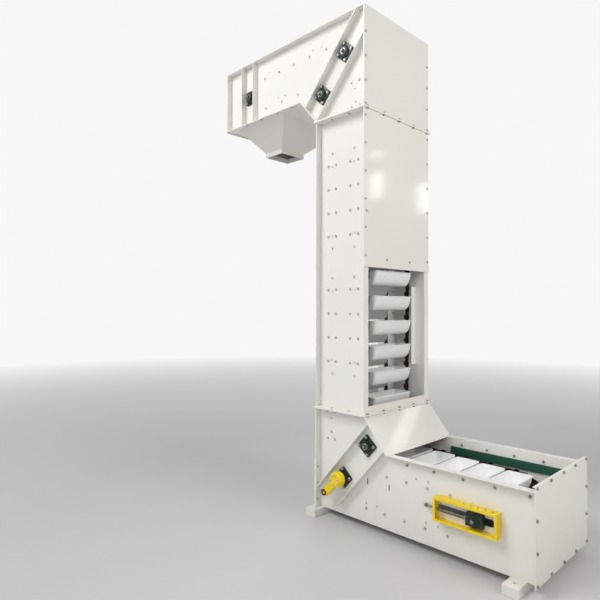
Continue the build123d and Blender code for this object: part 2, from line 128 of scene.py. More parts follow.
class Finish:
    """A material with its nodes, built on one surface shader."""

    def __init__(self, name, **constants):
        self.material = bpy.data.materials.new(name)
        self.material.use_nodes = True
        self.tree = self.material.node_tree
        self.surface = self.tree.nodes["Principled BSDF"]
        self.set(**constants)
        self.place = self.node("ShaderNodeTexCoord", output="Object")

    def node(self, kind, settings=None, inputs=None, output=0):
        made = self.tree.nodes.new(kind)
        for setting, value in (settings or {}).items():
            setattr(made, setting, value)
        for key, value in (inputs or {}).items():
            self.feed(made.inputs[key], value)
        return Signal(self, made.outputs[output])

    def feed(self, socket, value):
        if isinstance(value, Signal):
            self.tree.links.new(value.socket, socket)
        else:
            socket.default_value = value

    def set(self, **values):
        """Feeds the surface shader, such as Base_Color or Roughness."""
        for name, value in values.items():
            self.feed(self.surface.inputs[name.replace("_", " ")], value)

    def stretched(self, scale):
        """Places whose pattern is drawn out along some axes."""
        return self.node("ShaderNodeMapping", {}, {"Vector": self.place, "Scale": scale})

    def noise(self, scale, detail=2, where=None):
        inputs = {"Vector": where or self.place, "Scale": scale, "Detail": detail}
        return self.node("ShaderNodeTexNoise", {}, inputs)

    def blend(self, share, first, second):
        """A colour between two, by a share from 0 to 1."""
        settings = {"data_type": "RGBA"}
        return self.node("ShaderNodeMix", settings, {0: share, 6: first, 7: second}, output=2)

    def height(self):
        """How high a point is above the floor."""
        return self.node("ShaderNodeSeparateXYZ", {}, {0: self.place}, output="Z")

    def relief(self, height, depth, strength, under=None):
        """A surface direction bent by a pattern of heights, on top of another one if it is given."""
        inputs = {"Height": height, "Distance": depth, "Strength": strength}
        if under:
            inputs["Normal"] = under
        return self.node("ShaderNodeBump", {}, inputs)


dusty_height = 0.5


def painted(name, colour, shade, waviness, gloss=0.07, soil=0.3):
    """Paint on sheet: slightly uneven in tone and flatness, with orange peel and dust near the floor."""
    finish = Finish(name, Specular_IOR_Level=0.5)
    uneven = finish.noise(scale=1.6, detail=4)
    flecks = finish.noise(scale=13, detail=4)
    low = (1 - finish.height() / dusty_height).limited() ** 2
    dusty = (low * flecks * soil).limited()
    tone = ((uneven - 0.3) * 1.6).limited() * 0.55
    finish.set(Base_Color=finish.blend(dusty, finish.blend(tone, colour, shade), dust))
    finish.set(Roughness=gloss + 0.05 * flecks + 0.25 * dusty)
    flatness = finish.relief(finish.noise(scale=2.6, detail=1), depth=waviness, strength=0.3)
    peel = finish.relief(finish.noise(scale=300, detail=1), depth=0.0001, strength=0.06, under=flatness)
    finish.set(Normal=peel)
    return finish.material


def moulded(name, colour, shade, roughness, grain):
    """Moulded or cut plastic: soft tone changes and a fine grain with faint scuffs."""
    finish = Finish(name)
    uneven = finish.noise(scale=7, detail=4)
    scuffs = finish.noise(scale=1, detail=5, where=finish.stretched((9, 60, 60)))
    share = ((scuffs - 0.5) * 3).limited() * 0.5 + uneven * 0.4
    finish.set(Base_Color=finish.blend(share, colour, shade))
    finish.set(Roughness=roughness + 0.16 * scuffs)
    finish.set(Normal=finish.relief(finish.noise(scale=260, detail=3), depth=grain, strength=0.3))
    return finish.material


def metal(name, colour, shade, roughness, grain=0.0001, stretch=(1, 1, 1), metallic=1.0):
    """Bare, plated or oiled steel with streaks along its grain."""
    finish = Finish(name, Metallic=metallic)
    streaks = finish.noise(scale=90, detail=4, where=finish.stretched(stretch))
    stains = finish.noise(scale=21, detail=3)
    finish.set(Base_Color=finish.blend(((streaks + stains - 0.6) * 1.4).limited(), colour, shade))
    finish.set(Roughness=roughness + 0.22 * stains)
    finish.set(Normal=finish.relief(streaks, depth=grain, strength=0.25))
    return finish.material


def cast(name, colour, shade, roughness):
    """Painted castings: a pitted skin under satin paint."""
    finish = Finish(name, Specular_IOR_Level=0.5)
    pits = finish.noise(scale=330, detail=4)
    finish.set(Base_Color=finish.blend(finish.noise(scale=46, detail=3), colour, shade))
    finish.set(Roughness=roughness + 0.2 * pits)
    finish.set(Normal=finish.relief(pits, depth=0.0006, strength=0.4))
    return finish.material


def threaded(name, pitch):
    """A plated rod with its thread as rings along X, in relief and with painted shade in the roots and painted
    highlight on the crests.
    """
    finish = Finish(name, Metallic=1.0)
    settings = {"wave_type": "BANDS", "bands_direction": "X", "wave_profile": "TRI"}
    inputs = {"Vector": finish.place, "Scale": pi / (10 * pitch)}
    rings = finish.node("ShaderNodeTexWave", settings, inputs)
    # Painted shade and painted highlight: the colour runs from dark in the thread's roots to bright on its
    # crests, along the same rings as the bump.
    finish.set(Base_Color=finish.blend(rings, dull_shade, bright_steel))
    finish.set(Roughness=0.3 + 0.15 * finish.noise(scale=60))
    finish.set(Normal=finish.relief(rings, depth=0.001, strength=0.7))
    return finish.material


casing_paint = painted("casing paint", cream, cream_shade, waviness=0.0022)
beam_paint = painted("beam paint", cream, cream_shade, waviness=0.001, gloss=0.3)
yellow_paint = painted("yellow paint", safety_yellow, yellow_shade, waviness=0.0006, gloss=0.24, soil=0.06)
bearing_paint = cast("bearing paint", housing_green, housing_shade, roughness=0.24)
bucket_plastic = moulded("bucket plastic", bucket_white, bucket_shade, roughness=0.34, grain=0.0003)
guide_plastic = moulded("guide plastic", guide_green, guide_shade, roughness=0.42, grain=0.0004)
seal_rubber = moulded("seal rubber", seal_black, seal_shade, roughness=0.5, grain=0.0003)
bolt_zinc = metal("bolt zinc", zinc, zinc_shade, roughness=0.32, metallic=0.4)
dark_zinc = metal("weathered zinc", weathered, weathered_shade, roughness=0.32, metallic=0.55)
pale_zinc = metal("coated zinc", coated, coated_shade, roughness=0.32, metallic=0.2)
bright_zinc = metal("bright zinc", bright_steel, bright_shade, roughness=0.26)
shaft_steel = metal("shaft steel", dull_steel, dull_shade, roughness=0.30, stretch=(1, 0.1, 1))
wheel_steel = metal("wheel steel", machined_steel, machined_shade, roughness=0.36, grain=0.0002)
chain_steel = metal("chain steel", oiled_steel, oiled_shade, roughness=0.38, grain=0.0002, metallic=0.85)
screw_zinc = threaded("screw thread", pitch=0.00175)

node_finishes = {
    "casing_paint": casing_paint,
    "beam_paint": beam_paint,
    "yellow_paint": yellow_paint,
    "bearing_paint": bearing_paint,
    "shaft_steel": shaft_steel,
    "wheel_steel": wheel_steel,
    "chain_steel": chain_steel,
    "bucket_plastic": bucket_plastic,
    "guide_plastic": guide_plastic,
}
for subpart in frame["record"]["subparts"]:
    node = frame["nodes"][subpart["node"]]
    node.data.materials.clear()
    node.data.materials.append(node_finishes[subpart["material_slot"]])
frame["nodes"]["takeup_screws"].data.materials[0] = screw_zinc


# Shapes

tolerance = 1e-5


def finished(name, shape, finish, slot, *nodes, sharp=35):
    """Makes a shape a piece of the object, which stands for the given nodes."""
    mesh = bpy.data.meshes.new(name)
    shape.to_mesh(mesh)
    shape.free()
    mesh.shade_smooth()
    mesh.set_sharp_from_angle(angle=radians(sharp))
    mesh.materials.append(finish)
    piece = bpy.data.objects.new(name, mesh)
    scene.collection.objects.link(piece)
    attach(piece, "root")
    if nodes:
        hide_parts(*nodes)
    return piece


def as_mesh(shape, name):
    """Keeps a shape as a mesh from which copies are placed."""
    bmesh.ops.recalc_face_normals(shape, faces=shape.faces)
    mesh = bpy.data.meshes.new(name)
    shape.to_mesh(mesh)
    shape.free()
    return mesh


def add_copy(shape, pattern, place):
    """Adds a copy of a pattern mesh, moved and turned by a matrix."""
    before = len(shape.verts)
    shape.from_mesh(pattern)
    shape.verts.ensure_lookup_table()
    bmesh.ops.transform(shape, matrix=place, verts=shape.verts[before:])


def add_part(shape, part, place=Matrix.Identity(4)):
    """Adds a part that was made on its own, with its faces turned outward."""
    pattern = as_mesh(part, "part")
    add_copy(shape, pattern, place)
    bpy.data.meshes.remove(pattern)


def add_turned(shape, profile, sides, place=Matrix.Identity(4)):
    """Adds a body turned about Z from (radius, height) points, with its open ends closed flat."""
    part = bmesh.new()
    points = [part.verts.new((radius, 0, height)) for radius, height in profile]
    lines = [part.edges.new(ends) for ends in zip(points, points[1:])]
    bmesh.ops.spin(part, geom=points + lines, axis=(0, 0, 1), angle=2 * pi, steps=sides, use_merge=True)
    bmesh.ops.remove_doubles(part, verts=part.verts, dist=tolerance)
    bmesh.ops.holes_fill(part, edges=part.edges)
    add_part(shape, part, place)


def rounded_outline(half_x, half_y, corner, steps):
    """Points round a rectangle with rounded corners, counterclockwise."""
    points = []
    for quarter, (side_x, side_y) in enumerate(((1, 1), (-1, 1), (-1, -1), (1, -1))):
        centre_x, centre_y = side_x * (half_x - corner), side_y * (half_y - corner)
        for step in range(steps + 1):
            angle = (quarter + step / steps) * pi / 2
            points.append((centre_x + corner * cos(angle), centre_y + corner * sin(angle)))
    return points


def add_stack(shape, layers, place=Matrix.Identity(4), steps=4):
    """Adds a closed body of rounded rectangles, each (half x, half y, corner, height), joined in order."""
    part = bmesh.new()
    rings = []
    for half_x, half_y, corner, height in layers:
        points = [part.verts.new((x, y, height)) for x, y in rounded_outline(half_x, half_y, corner, steps)]
        rings.append([part.edges.new(ends) for ends in zip(points, points[1:] + points[:1])])
    for low, high in zip(rings, rings[1:]):
        bmesh.ops.bridge_loops(part, edges=low + high)
    bmesh.ops.holes_fill(part, edges=part.edges)
    add_part(shape, part, place)


def add_plate(shape, outline, near, far):
    """Adds a flat plate from (x, z) points, between two faces across Y."""
    part = bmesh.new()
    face = part.faces.new([part.verts.new((x, near, z)) for x, z in outline])
    raised = bmesh.ops.extrude_face_region(part, geom=[face])["geom"]
    moved = [item for item in raised if isinstance(item, bmesh.types.BMVert)]
    bmesh.ops.translate(part, verts=moved, vec=(0, far - near, 0))
    add_part(shape, part)


def rod(radius, reach):
    """The profile of a round rod that reaches as far on either side of its middle."""
    return (radius, -reach), (radius, reach)


def facing(place, outward, spin=0.0):
    """The place of a fixing whose own Z points outward from a surface."""
    turn = Vector(outward).to_track_quat("Z", "Y").to_matrix().to_4x4()
    return Matrix.Translation(place) @ turn @ Matrix.Rotation(spin, 4, "Z")


def separate_solids(node):
    """The lists of points of the separate solids in a node, in the same order in each run."""
    shape = bmesh.new()
    shape.from_mesh(frame["nodes"][node].data)
    bmesh.ops.remove_doubles(shape, verts=shape.verts, dist=tolerance)
    waiting = set(shape.verts)
    solids = []
    for start in shape.verts:
        if start not in waiting:
            continue
        waiting.remove(start)
        reached = [start]
        for vert in reached:
            near = [edge.other_vert(vert) for edge in vert.link_edges]
            fresh = [other for other in near if other in waiting]
            waiting.difference_update(fresh)
            reached.extend(fresh)
        solids.append([vert.co.copy() for vert in reached])
    shape.free()
    return solids


def corners(points):
    """The lowest and highest corner of some points."""
    low = Vector(min(point[axis] for point in points) for axis in range(3))
    high = Vector(max(point[axis] for point in points) for axis in range(3))
    return low, high


# Turns a body's own Z to the front
crosswise = Matrix.Rotation(pi / 2, 4, "X")

# Measures read from the frame, with the flanges and sheets that they are made of

boot_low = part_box("boot_side_front")[0]
column_low, column_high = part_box("column_side_front")
end_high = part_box("infeed_end_plate")[1]
cover_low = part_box("column_covers")[0]
back_low, back_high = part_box("boot_back_cover")
roof_low, roof_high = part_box("head_roof")
front_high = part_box("head_front_plate")[1]
under_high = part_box("discharge_hopper")[1]
guard_low, guard_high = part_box("takeup_guards")
flange = 0.045
sheet = 0.003
edge_inset = 0.016
tip = -boot_low.y
plate = tip - flange
edge_y = tip - edge_inset
column_front = column_high.x + sheet
column_back = column_low.x - sheet

# Fixings

washer_thickness = 0.0016
chamfer_share = 0.2
turn_between_bolts = 0.37


def bolt_pattern(across, head, washer_radius):
    """A hexagon bolt head, by its width across flats and its height, on its washer."""
    shape = bmesh.new()
    add_turned(shape, ((washer_radius, 0), (washer_radius, washer_thickness)), sides=14)
    top = washer_thickness + head
    corner = across / sqrt(3)
    chamfer = top - head * chamfer_share
    top_radius = across / 2.1
    add_turned(shape, ((corner, washer_thickness), (corner, chamfer), (top_radius, top)), sides=6)
    return as_mesh(shape, "bolt")


small_bolt = bolt_pattern(across=0.013, head=0.0053, washer_radius=0.0085)
tiny_bolt = bolt_pattern(across=0.008, head=0.003, washer_radius=0.006)
end_bolt = bolt_pattern(across=0.010, head=0.004, washer_radius=0.0075)
bearing_bolt = bolt_pattern(across=0.015, head=0.007, washer_radius=0.0095)


def bolted(name, places, pattern=small_bolt, finish=bolt_zinc):
    """One piece with a bolt at each (place, outward) pair, each turned a little differently."""
    shape = bmesh.new()
    for index, (place, outward) in enumerate(places):
        add_copy(shape, pattern, facing(place, outward, spin=index * turn_between_bolts))
    return finished(name, shape, finish, "shaft_steel")


def evenly(low, high, count):
    """Places from low to high at equal steps."""
    return [low + (high - low) * index / (count - 1) for index in range(count)]


def stepped(start, step, count):
    """Places from a start at a given step."""
    return [start + step * index for index in range(count)]


def all_facing(outward, points):
    """Places at (x, y, z) points that all face one way."""
    return [(point, outward) for point in points]


def mirrored(outward, points):
    """Places at (x, y, z) points and their likenesses across the middle, which all face one way."""
    return [((x, side * y, z), outward) for x, y, z in points for side in (-1, 1)]


def on_both_sides(points, depth, outward=1):
    """Places at (x, z) points on the front side and then on the rear, which face out or, at -1, in."""
    front = [((x, -depth, z), (0, -outward, 0)) for x, z in points]
    return front + [((x, depth, z), (0, outward, 0)) for x, z in points]


def through_plates(points):
    """Places outside both side plates and the same ones inside."""
    return on_both_sides(points, plate) + on_both_sides(points, plate - sheet, -1)


# Column sides: two groups of rows hold the chain rails, with bolts beyond them and small screws between
rail_lines = (0.070, 0.134, 0.253, 0.317)
strand_lines = (0.102, 0.286)
row_step = 0.154
group_tops = (2.265, 1.459)
strand_reach = 0.078
screw_inset = 0.0075
rail_points = []
strand_points = []
rail_screws = []
for top in group_tops:
    rows = stepped(top, -row_step, 4)
    rail_points += [(x, z) for z in rows for x in rail_lines]
    strand_points += [(x, z) for z in (rows[0] + strand_reach, rows[3] - strand_reach) for x in strand_lines]
    rail_screws += [(x, z) for z in (rows[0] - screw_inset, rows[3] + screw_inset) for x in strand_lines]
bolted("column_rail_bolts", through_plates(rail_points))
bolted("column_strand_bolts", through_plates(strand_points), finish=pale_zinc)
bolted("column_rail_screws", on_both_sides(rail_screws, plate), tiny_bolt, pale_zinc)

# Column covers, with the nuts behind the front cover's flanges and in the boot's back corners
edge_heights = stepped(2.516, -0.171, 6)
sill_row = cover_low.z + 0.054
sill_lines = (-0.125, 0.127)
single_bolt_inset = 0.011
single_bolt_height = 1.932
boot_nut_heights = (0.304, 0.201, 0.094)
cover_places = []
for face_x, side in ((column_front, 1), (column_back, -1)):
    cover_places += mirrored((side, 0, 0), [(face_x, edge_y, z) for z in edge_heights])
    cover_places += all_facing((side, 0, 0), [(face_x, y, sill_row) for y in sill_lines])
cover_places.append(((column_front, single_bolt_inset - edge_y, single_bolt_height), (1, 0, 0)))
bolted("column_cover_bolts", cover_places)
flange_nuts = mirrored((-1, 0, 0), [(column_high.x - sheet, edge_y, z) for z in edge_heights])
flange_nuts += mirrored((1, 0, 0), [(boot_low.x + sheet, edge_y, z) for z in boot_nut_heights])
bolted("flange_nuts", flange_nuts)

# Joint rings, bolted above the upper and below the lower one
ring_inset = 0.006
ring_reach = 0.330
ring_side_line = 0.341
ring_side_marks = (0.125, 0.267)
ring_places = []
for node, upward in (("joint_rings_upper", 1), ("joint_rings_lower", -1)):
    for low, high in (corners(points) for points in separate_solids(node)):
        z = high.z if upward > 0 else low.z
        marks = (low.x + ring_inset, high.x - ring_inset)
        ends = [(x, y, z) for y in evenly(-ring_reach, ring_reach, 5) for x in marks]
        ring_places += all_facing((0, 0, upward), ends)
        ring_places += mirrored((0, 0, upward), [(x, ring_side_line, z) for x in ring_side_marks])
bolted("joint_ring_bolts", ring_places, finish=dark_zinc)

# Boot and trough sides
trough_points = [(x, 0.452) for x in stepped(0.674, 0.171, 5)]
boot_points = [(0.064, 0.672), (0.130, 0.672), (0.067, 0.498), (0.128, 0.498), (0.099, 0.542)]
boot_points += [(x, 0.353) for x in stepped(0.533, 0.136, 4)]
boot_points += [(x, 0.131) for x in stepped(0.382, 0.136, 5)]
boot_screws = [(0.097, 0.630), (0.733, 0.388), (0.810, 0.388)]
boot_screws += [(0.382, 0.162), (0.460, 0.161), (0.793, 0.165), (0.870, 0.166)]
bolted("trough_side_bolts", through_plates(trough_points), finish=dark_zinc)
bolted("boot_side_bolts", on_both_sides(boot_points, plate))
bolted("boot_side_screws", on_both_sides(boot_screws, plate), tiny_bolt)

# End plate and back cover, bolted all round
end_lines = (-0.342, -0.171, 0.0, 0.171, 0.342)
outer_lines = (end_lines[0], end_lines[4])
end_rows = stepped(end_high.z - 0.009, -0.150, 4)
end_points = [(end_high.x, y, z) for z in (end_rows[0], end_rows[3]) for y in end_lines]
end_points += [(end_high.x, y, z) for z in end_rows[1:3] for y in outer_lines]
back_inset = 0.02
back_rows = (back_low.z + back_inset, back_high.z - back_inset)
back_points = [(back_low.x, y, z) for z in back_rows for y in end_lines]
back_points += [(back_low.x, y, (back_low.z + back_high.z) / 2) for y in outer_lines]
end_places = all_facing((1, 0, 0), end_points) + all_facing((-1, 0, 0), back_points)
bolted("boot_end_bolts", end_places, finish=dark_zinc)

# Head sides
head_points = [(x, 3.051) for x in (-0.575, -0.419, -0.265, -0.109, 0.046)]
head_points += [(0.263, 2.759), (0.328, 2.759)]
coated_points = [(x, 2.827) for x in (-0.561, -0.392, -0.224)]
coated_points += [(0.296, 2.632), (0.264, 2.606), (0.328, 2.606)]
head_screws = [(-0.532, 3.083), (-0.077, 3.086), (0.003, 3.083)]
head_screws += [(-0.428, 2.862), (-0.354, 2.862), (0.292, 2.714)]
bolted("head_side_bolts", on_both_sides(head_points, plate))
bolted("head_coated_bolts", on_both_sides(coated_points, plate), finish=pale_zinc)
bolted("head_side_screws", on_both_sides(head_screws, plate), tiny_bolt, pale_zinc)

# Head covers: roof, front plate, end plate and the hopper's flange
roof_inset = 0.04
roof_marks = evenly(roof_low.x + roof_inset, roof_high.x - roof_inset, 9)
front_heights = (3.025, 2.876, 2.727, 2.584)
head_end_heights = (3.120, 2.980, 2.840)
hopper_marks = (-0.751, -0.577, -0.404, -0.248)
hopper_line = 0.340
head_places = mirrored((0, 0, 1), [(x, edge_y, roof_high.z) for x in roof_marks])
head_places += mirrored((1, 0, 0), [(front_high.x, edge_y, z) for z in front_heights])
head_places += mirrored((-1, 0, 0), [(roof_low.x, edge_y, z) for z in head_end_heights])
head_places += mirrored((0, 0, -1), [(x, hopper_line, under_high.z - sheet) for x in hopper_marks])
bolted("head_cover_bolts", head_places)

guard_marks = evenly(1.036, 1.191, 5)
guard_line = 0.344
bolted("guard_screws", mirrored((0, 0, 1), [(x, guard_line, guard_high.z) for x in guard_marks]), tiny_bolt)

# A lip stiffens each cover above its window
lintel_height = 0.044
lintel_thickness = 0.004
lintel_middle = cover_low.z + lintel_height / 2
lintels = bmesh.new()
for face_x, side in ((column_front, 1), (column_back, -1)):
    middle = Matrix.Translation((face_x + side * lintel_thickness / 2, 0, lintel_middle))
    size = Matrix.Diagonal((lintel_thickness, 2 * tip, lintel_height, 1))
    bmesh.ops.create_cube(lintels, size=1, matrix=middle @ size)
finished("window_lintels", lintels, casing_paint, "casing_paint")

# Chain: waisted link plates, bushes, riveted pins and lugs in the place of the solid links

plate_thickness = 0.0032
pin_radius = 0.005
bush_radius = 0.0078
rivet_reach = 0.0133
waist_share = 0.40
lug_thickness = 0.003
lug_outline = ((-0.016, -0.014), (-0.010, -0.020), (0.010, -0.020), (0.016, -0.014))
lug_outline += tuple((-x, -z) for x, z in lug_outline)


def link_outline(length, height):
    """A link plate's outline on (x, z): round ends and a slight waist."""
    reach = length / 2 - height / 2
    points = []
    for side, start in ((1, -pi / 2), (-1, pi / 2)):
        for angle in evenly(start, start + pi, 6):
            points.append((side * reach + height / 2 * cos(angle), height / 2 * sin(angle)))
        points.append((0, side * height * waist_share))
    return points


def link_pattern(length, height, thickness, lug_side):
    """A link along X: a plate for a thin bar, or two plates with bushes, pins and a lug for a block."""
    pattern = bmesh.new()
    outline = link_outline(length, height)
    half = thickness / 2
    if thickness > 2 * plate_thickness:
        bush_reach = half - plate_thickness
        for side in (-1, 1):
            add_plate(pattern, outline, side * bush_reach, side * half)
            joint = Matrix.Translation((side * (length - height) / 2, 0, 0)) @ crosswise
            add_turned(pattern, rod(bush_radius, bush_reach), sides=12, place=joint)
            add_turned(pattern, rod(pin_radius, rivet_reach), sides=8, place=joint)
        lug = lug_side * half
        add_plate(pattern, lug_outline, lug - lug_thickness / 2, lug + lug_thickness / 2)
    else:
        add_plate(pattern, outline, -half, half)
    return as_mesh(pattern, "link")


def chain_strand(node):
    """The finished strand in the place of a node's solid links, with its lugs toward the middle."""
    solids = separate_solids(node)
    lug_side = -1 if solids[0][0].y > 0 else 1
    shape = bmesh.new()
    for points in solids:
        low, high = corners(points)
        centre = (low + high) / 2
        first = max(points, key=lambda point: (point - centre).length)
        same_face = [point for point in points if abs(point.y - first.y) < tolerance]
        face = sorted(same_face, key=lambda point: (point - first).length)
        height = (face[1] - first).length
        ahead = face[2] - first
        pattern = link_pattern(ahead.length, height, high.y - low.y, lug_side)
        heading = atan2(-ahead.z, ahead.x)
        add_copy(shape, pattern, Matrix.Translation(centre) @ Matrix.Rotation(heading, 4, "Y"))
        bpy.data.meshes.remove(pattern)
    finished(node + "_links", shape, chain_steel, "chain_steel", node)


chain_strand("chain_front")
chain_strand("chain_rear")

# Buckets: moulded trays with a turned-out rim, and a steel bracket with a pin at each end

rim_height = 0.020
bucket_layers = (
    (0.028, 0.180, 0.006, -0.070),
    (0.036, 0.184, 0.009, -0.068),
    (0.053, 0.191, 0.012, -0.050),
    (0.069, 0.194, 0.016, -0.010),
    (0.0715, 0.195, 0.018, 0.012),
    (0.0765, 0.199, 0.020, 0.0135),
    (0.0765, 0.199, 0.020, 0.0185),
    (0.0750, 0.198, 0.019, rim_height),
    (0.0690, 0.192, 0.016, rim_height),
    (0.0675, 0.191, 0.015, 0.012),
    (0.0650, 0.190, 0.015, -0.010),
    (0.0500, 0.186, 0.015, -0.046),
    (0.0370, 0.180, 0.014, -0.060),
    (0.0240, 0.172, 0.010, -0.066),
)
bracket_outline = (
    (-0.017, 0.012), (0.017, 0.012), (0.017, -0.030), (0.009, -0.044), (-0.009, -0.044), (-0.017, -0.030),
)
bracket_gap = 0.199
bracket_thickness = 0.003
bracket_bolt_heights = (-0.032, -0.018)
bracket_bolt_profile = ((0.005, 0), (0.005, 0.0035))
chain_inner = 0.2380
cross_pin_radius = 0.008
cross_pin_reach = (chain_inner - bracket_gap) / 2
shelf_height = 0.012
shelf_half_width = 0.0175
shelf_outset = bracket_gap + 0.0185
shelf_plan = (0.030, shelf_half_width, 0.006)

bucket = bmesh.new()
add_stack(bucket, bucket_layers)
bucket = as_mesh(bucket, "bucket")
bracket = bmesh.new()
for side in (-1, 1):
    face_y = side * (bracket_gap + bracket_thickness)
    add_plate(bracket, bracket_outline, side * bracket_gap, face_y)
    pin_place = Matrix.Translation((0, side * (bracket_gap + chain_inner) / 2, 0)) @ crosswise
    add_turned(bracket, rod(cross_pin_radius, cross_pin_reach), sides=12, place=pin_place)
    shelf = Matrix.Translation((0, side * shelf_outset, shelf_height))
    add_stack(bracket, ((*shelf_plan, 0), (*shelf_plan, bracket_thickness)), shelf)
    for z in bracket_bolt_heights:
        bolt_place = facing((0, face_y, z), (0, side, 0))
        add_turned(bracket, bracket_bolt_profile, sides=6, place=bolt_place)
bracket = as_mesh(bracket, "bracket")
brackets = bmesh.new()
for stretch in ("infeed", "rising", "head", "falling", "return"):
    node = "buckets_" + stretch
    shape = bmesh.new()
    for points in separate_solids(node):
        low, high = corners(points)
        hung = Matrix.Translation(((low.x + high.x) / 2, 0, high.z - rim_height))
        add_copy(shape, bucket, hung)
        add_copy(brackets, bracket, hung)
    finished("bucket_row_" + stretch, shape, bucket_plastic, "bucket_plastic", node, sharp=50)
finished("bucket_brackets", brackets, chain_steel, "chain_steel")

# Flange bearings: cast housings with a boss, four ears and a grease nipple, a bright race and four bolts

band_angle = radians(48.5)
level_bearing_end = -0.3
housing_half = 0.051
housing_depth = 0.012
boss_depth = 0.018
nose = housing_depth + boss_depth
bolt_offset = 0.0375
ear_top = 0.0135

housing_plan = (
    (housing_half, housing_half, 0.011, 0),
    (housing_half, housing_half, 0.011, 0.0085),
    (housing_half - 0.0015, housing_half - 0.0015, 0.0105, 0.0105),
    (housing_half - 0.007, housing_half - 0.007, 0.009, housing_depth),
)
boss_profile = (
    (0.037, 0.008), (0.036, 0.0135), (0.033, 0.0165), (0.0315, 0.024),
    (0.0295, nose), (0.022, nose), (0.021, nose - 0.003), (0, nose - 0.003),
)
ear_profile = ((0.0125, 0.006), (0.0125, 0.0125), (0.0115, ear_top))
nipple_profile = ((0.0045, 0), (0.0045, 0.009), (0.0025, 0.010), (0.003, 0.014), (0.0015, 0.016))
race_profile = ((0.0195, nose - 0.004), (0.0195, nose + 0.003), (0.0185, nose + 0.004), (0.0125, nose + 0.004))

bolt_corners = [(x * bolt_offset, y * bolt_offset) for x in (-1, 1) for y in (-1, 1)]
housing = bmesh.new()
add_stack(housing, housing_plan, steps=5)
add_turned(housing, boss_profile, sides=40)
for x, y in bolt_corners:
    add_turned(housing, ear_profile, sides=20, place=Matrix.Translation((x, y, 0)))
nipple_place = facing((0.022, 0.022, 0.020), (0.6, 0.6, 0.5))
add_turned(housing, nipple_profile, sides=8, place=nipple_place)
housing = as_mesh(housing, "housing")
race = bmesh.new()
add_turned(race, race_profile, sides=32)
race = as_mesh(race, "race")

housings = bmesh.new()
races = bmesh.new()
bearing_bolts = []
shaft_ends = []
for node in ("boot_bearings", "head_bearings"):
    for points in separate_solids(node):
        low, high = corners(points)
        side = -1 if low.y < 0 else 1
        middle = (low + high) / 2
        # The bearings between the slanting ribs lie askew, and the one beyond the hopper is level
        spin = 0.0 if middle.x < level_bearing_end else band_angle
        place = Matrix.Translation((middle.x, side * plate, middle.z)) @ Matrix.Rotation(-spin, 4, "Y")
        place = place @ Matrix.Rotation(-side * pi / 2, 4, "X")
        add_copy(housings, housing, place)
        add_copy(races, race, place)
        seats = [place @ Vector((x, y, ear_top)) for x, y in bolt_corners]
        bearing_bolts += all_facing((0, side, 0), seats)
        shaft_ends.append((middle.x, middle.z, side))
finished("bearing_housings", housings, bearing_paint, "bearing_paint", "boot_bearings", "head_bearings")
finished("bearing_races", races, bright_zinc, "shaft_steel")
bolted("bearing_bolts", bearing_bolts, bearing_bolt, bright_zinc)

# Gear unit: a round case with a bolted cover, an arm and the input neck with its seal

gear_low, gear_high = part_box("gear_unit")
input_radius = 0.023
arm_radius = 0.025
case_radius = 0.0465
case_front = 0.048
cover_bolt_circle = 0.0305
cover_bolt_turn = 0.3
case_middle = Vector((gear_high.x - case_radius, gear_high.y, gear_high.z - case_radius))
input_middle = Vector((gear_low.x + arm_radius, gear_high.y, gear_low.z + arm_radius))
case_place = Matrix.Translation(case_middle) @ crosswise
input_place = Matrix.Translation(input_middle) @ crosswise
case_profile = (
    (0.030, 0), (0.0445, 0), (case_radius, 0.002), (case_radius, 0.0135), (0.0450, 0.015), (0.0450, 0.018),
    (case_radius, 0.0195), (case_radius, 0.038), (0.0445, 0.0415), (0.0400, 0.0425), (0.0390, 0.0430),
    (0.0390, 0.0465), (0.0375, case_front), (0.0240, case_front),
    (0.0225, 0.0465), (0.0225, 0.0455), (0, 0.0455),
)
arm_heading = input_middle - case_middle
arm_reach = arm_heading.length / 2 + arm_radius
arm_turn = Matrix.Rotation(atan2(-arm_heading.z, arm_heading.x), 4, "Y")
arm_place = Matrix.Translation((case_middle + input_middle) / 2) @ arm_turn @ crosswise
arm_layers = (
    (arm_reach - 0.002, arm_radius - 0.002, 0.0229, 0.001),
    (arm_reach, arm_radius, 0.0249, 0.003),
    (arm_reach, arm_radius, 0.0249, 0.024),
    (arm_reach - 0.003, arm_radius - 0.003, 0.0219, 0.028),
)
neck_profile = (
    (0.0245, 0.024), (0.0245, 0.029), (input_radius, 0.0305),
    (input_radius, 0.036), (0.0215, 0.037), (0, 0.037),
)
seal_profile = (
    (0.0205, 0.036), (0.0205, 0.0402), (0.0195, 0.041), (0.0110, 0.041),
    (0.0098, 0.0395), (0.0095, 0.012), (0, 0.012),
)
gear = bmesh.new()
add_turned(gear, case_profile, sides=56, place=case_place)
add_stack(gear, arm_layers, arm_place, steps=8)
add_turned(gear, neck_profile, sides=32, place=input_place)
finished("gear_housing", gear, yellow_paint, "yellow_paint", "gear_unit", sharp=30)
seal = bmesh.new()
add_turned(seal, seal_profile, sides=32, place=input_place)
finished("gear_input_seal", seal, seal_rubber, "chain_steel")
cover_bolts = []
for angle in stepped(cover_bolt_turn, pi / 3, 6):
    spot = Vector((cover_bolt_circle * cos(angle), cover_bolt_circle * sin(angle), case_front))
    cover_bolts.append((case_place @ spot, (0, -1, 0)))
bolted("gear_cover_bolts", cover_bolts, tiny_bolt)

# Bright centre screws on the shaft ends that the gear unit leaves open

tail_low, tail_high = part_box("tail_shaft")
shaft_end = 0.357
same_place = 0.01
tail_x = (tail_low.x + tail_high.x) / 2
tail_z = (tail_low.z + tail_high.z) / 2
end_screws = []
for x, z, side in shaft_ends:
    covered = side < 0 and abs(x - case_middle.x) < same_place and abs(z - case_middle.z) < same_place
    if not covered:
        end_screws.append(((x, side * shaft_end, z), (0, side, 0)))
end_screws += on_both_sides([(tail_x, tail_z)], tail_high.y)
bolted("shaft_end_screws", end_screws, end_bolt, bright_zinc)

